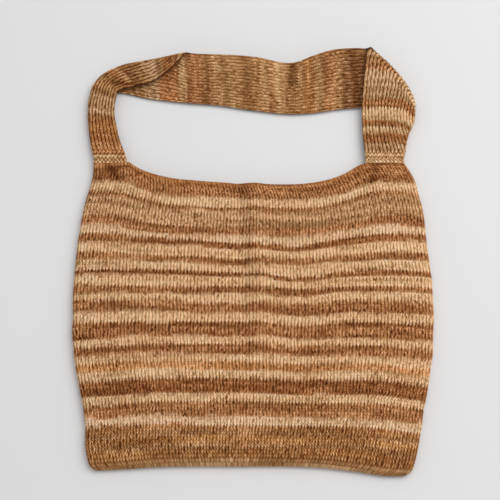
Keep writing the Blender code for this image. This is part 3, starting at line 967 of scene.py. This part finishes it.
def yarn_material(name):
    """Yarn: the stitches' colours, with painted shade deep between them, with fibres in colour and bump.
    """
    material = bpy.data.materials.new(name)
    material.use_nodes = True
    nodes = material.node_tree.nodes
    links = material.node_tree.links
    shader = nodes["Principled BSDF"]
    shader.inputs["Metallic"].default_value = 0.0
    shader.inputs["Specular IOR Level"].default_value = 0.15
    shader.inputs["Sheen Weight"].default_value = YARN_SHEEN
    shader.inputs["Sheen Roughness"].default_value = 0.5

    # The meshes carry the colour of each stitch's legs, with painted light between the two legs, and the
    # painted shade of each point.
    yarn = nodes.new("ShaderNodeAttribute")
    yarn.attribute_name = "yarn"
    shade = nodes.new("ShaderNodeAttribute")
    shade.attribute_name = "shade"
    position = nodes.new("ShaderNodeTexCoord")
    fibres = nodes.new("ShaderNodeTexNoise")
    fibres.inputs["Scale"].default_value = 1400.0
    fibres.inputs["Detail"].default_value = 2.0
    links.new(position.outputs["Object"], fibres.inputs["Vector"])
    flecks = nodes.new("ShaderNodeMapRange")
    flecks.inputs["From Min"].default_value = 0.3
    flecks.inputs["From Max"].default_value = 0.7
    flecks.inputs["To Min"].default_value = 0.86
    flecks.inputs["To Max"].default_value = 1.12
    links.new(fibres.outputs["Fac"], flecks.inputs["Value"])
    lit = nodes.new("ShaderNodeMath")
    lit.operation = "MULTIPLY"
    links.new(flecks.outputs["Result"], lit.inputs[0])
    links.new(shade.outputs["Fac"], lit.inputs[1])

    # The shade is raised to a power for each channel, which is smaller for yarn with more green.
    own = nodes.new("ShaderNodeSeparateColor")
    links.new(yarn.outputs["Color"], own.inputs["Color"])
    warm = nodes.new("ShaderNodeCombineXYZ")
    for channel, power in enumerate(SHADE_POWERS):
        contrast = nodes.new("ShaderNodeMath")
        contrast.operation = "MULTIPLY_ADD"
        contrast.inputs[1].default_value = -CONTRAST_LOSS * power
        contrast.inputs[2].default_value = DARK_CONTRAST * power
        links.new(own.outputs["Green"], contrast.inputs[0])
        fall = nodes.new("ShaderNodeMath")
        fall.operation = "POWER"
        links.new(contrast.outputs["Value"], fall.inputs[1])
        links.new(lit.outputs["Value"], fall.inputs[0])
        links.new(fall.outputs["Value"], warm.inputs[channel])
    tint = nodes.new("ShaderNodeVectorMath")
    tint.operation = "MULTIPLY"
    links.new(yarn.outputs["Color"], tint.inputs[0])
    links.new(warm.outputs["Vector"], tint.inputs[1])
    links.new(tint.outputs["Vector"], shader.inputs["Base Color"])

    # The fibres also roughen the yarn and stand out of it a little.
    dull = nodes.new("ShaderNodeMapRange")
    dull.inputs["To Min"].default_value = 0.82
    dull.inputs["To Max"].default_value = 0.98
    links.new(fibres.outputs["Fac"], dull.inputs["Value"])
    links.new(dull.outputs["Result"], shader.inputs["Roughness"])
    bump = nodes.new("ShaderNodeBump")
    bump.inputs["Strength"].default_value = 0.5
    bump.inputs["Distance"].default_value = 0.00025
    links.new(fibres.outputs["Fac"], bump.inputs["Height"])
    links.new(bump.outputs["Normal"], shader.inputs["Normal"])
    return material


def floor_material():
    """Plain pale paper with a very fine grain."""
    material = bpy.data.materials.new("floor_paper")
    material.use_nodes = True
    nodes = material.node_tree.nodes
    links = material.node_tree.links
    shader = nodes["Principled BSDF"]
    shader.inputs["Base Color"].default_value = FLOOR_COLOR
    shader.inputs["Roughness"].default_value = 0.9
    shader.inputs["Specular IOR Level"].default_value = 0.1
    grain = nodes.new("ShaderNodeTexNoise")
    grain.inputs["Scale"].default_value = 260.0
    bump = nodes.new("ShaderNodeBump")
    bump.inputs["Strength"].default_value = 0.05
    bump.inputs["Distance"].default_value = 0.0002
    links.new(grain.outputs["Fac"], bump.inputs["Height"])
    links.new(bump.outputs["Normal"], shader.inputs["Normal"])
    return material


def make_floor(collection):
    """A wide square just under the bag."""
    half = FLOOR_HALF_WIDTH
    signs = ((-1, -1), (1, -1), (1, 1), (-1, 1))
    corners = [(side * half, end * half, FLOOR_LEVEL) for side, end in signs]
    mesh = bpy.data.meshes.new("floor")
    mesh.from_pydata(corners, [], [(0, 1, 2, 3)])
    mesh.materials.append(floor_material())
    floor = bpy.data.objects.new("floor", mesh)
    collection.objects.link(floor)
    return floor


def make_light(name, place, target, size, power, color, collection):
    """A round area light that faces its target."""
    data = bpy.data.lights.new(name, "AREA")
    data.shape = "DISK"
    data.size = size
    data.energy = power
    data.color = color
    light = bpy.data.objects.new(name, data)
    light.location = place
    light.rotation_euler = (Vector(target) - Vector(place)).to_track_quat("-Z", "Y").to_euler()
    collection.objects.link(light)


def make_world():
    """Even light from all round."""
    world = bpy.data.worlds.new("studio")
    world.use_nodes = True
    background = world.node_tree.nodes["Background"]
    background.inputs["Color"].default_value = WORLD_COLOR
    background.inputs["Strength"].default_value = WORLD_STRENGTH
    bpy.context.scene.world = world


def make_camera(collection):
    """Looks down at the bag at CAMERA_ELEVATION over the floor, along +Y."""
    elevation = math.radians(CAMERA_ELEVATION)
    data = bpy.data.cameras.new("camera")
    data.lens = CAMERA_LENS
    data.sensor_width = CAMERA_SENSOR
    camera = bpy.data.objects.new("camera", data)
    forward = Vector((0.0, math.cos(elevation), -math.sin(elevation)))
    camera.location = Vector(CAMERA_AIM) - forward * CAMERA_DISTANCE
    camera.rotation_euler = (math.pi / 2.0 - elevation, 0.0, 0.0)
    collection.objects.link(camera)
    bpy.context.scene.camera = camera


def main():
    scene = bpy.context.scene
    scene.view_settings.view_transform = "Standard"
    collection = bpy.data.collections.new("bilum_string_bag")
    scene.collection.children.link(collection)
    studio = bpy.data.collections.new("studio")
    scene.collection.children.link(studio)

    make_camera(studio)
    make_world()
    make_light("key", KEY_PLACE, KEY_TARGET, KEY_SIZE, KEY_POWER, KEY_COLOR, studio)
    floor = make_floor(studio)

    body_knit = yarn_material("body_knit")
    strap_rib = yarn_material("strap_rib")
    front = make_pouch_wall("pouch_front", True, body_knit, collection)
    back = make_pouch_wall("pouch_back", False, body_knit, collection)
    strap = make_strap("strap_knit", strap_rib, collection)

    for piece, slot, node in (
        (front, "body_knit", "body"),
        (back, "body_knit", "body"),
        (strap, "strap_rib", "strap"),
    ):
        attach(piece, "root")
        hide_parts(node)


main()
